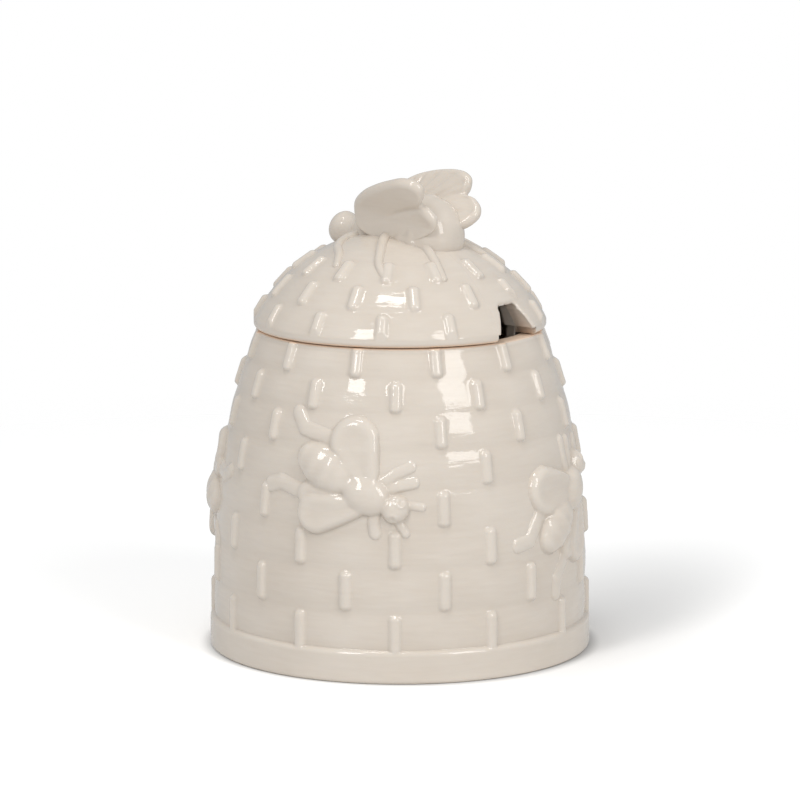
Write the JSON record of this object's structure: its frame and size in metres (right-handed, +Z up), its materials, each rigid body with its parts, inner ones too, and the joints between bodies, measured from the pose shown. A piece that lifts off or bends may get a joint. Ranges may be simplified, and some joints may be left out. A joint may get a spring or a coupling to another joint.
{
  "type": "honey pot with lid",
  "caption": "Glazed ceramic honey pot shaped like a straw skep, with bees in relief and a lift-off domed lid that has a notch for a spoon.",
  "frame": {"origin": "centre of the face that the foot rests on", "axes": "+Z up through the lid, -Y toward the front of the pot, +X to the right as seen from the front"},
  "size_m": [0.1085, 0.109, 0.1343],
  "materials": {
    "glaze": "warm ivory gloss glaze over an earthenware body"
  },
  "bodies": {
    "pot": {"pot_wall": "glaze", "front_bee": "glaze", "right_bee": "glaze", "back_bee": "glaze", "left_bee": "glaze"},
    "lid": {"lid_dome": "glaze", "lid_bee_body": "glaze", "lid_bee_left_wings": "glaze", "lid_bee_right_wings": "glaze", "lid_bee_legs": "glaze"}
  },
  "joints": [
    {"name": "lid_lift", "type": "slide", "parent": "pot", "child": "lid", "axis": [0, 0, 1], "range_m": [0, 0.05]}
  ]
}
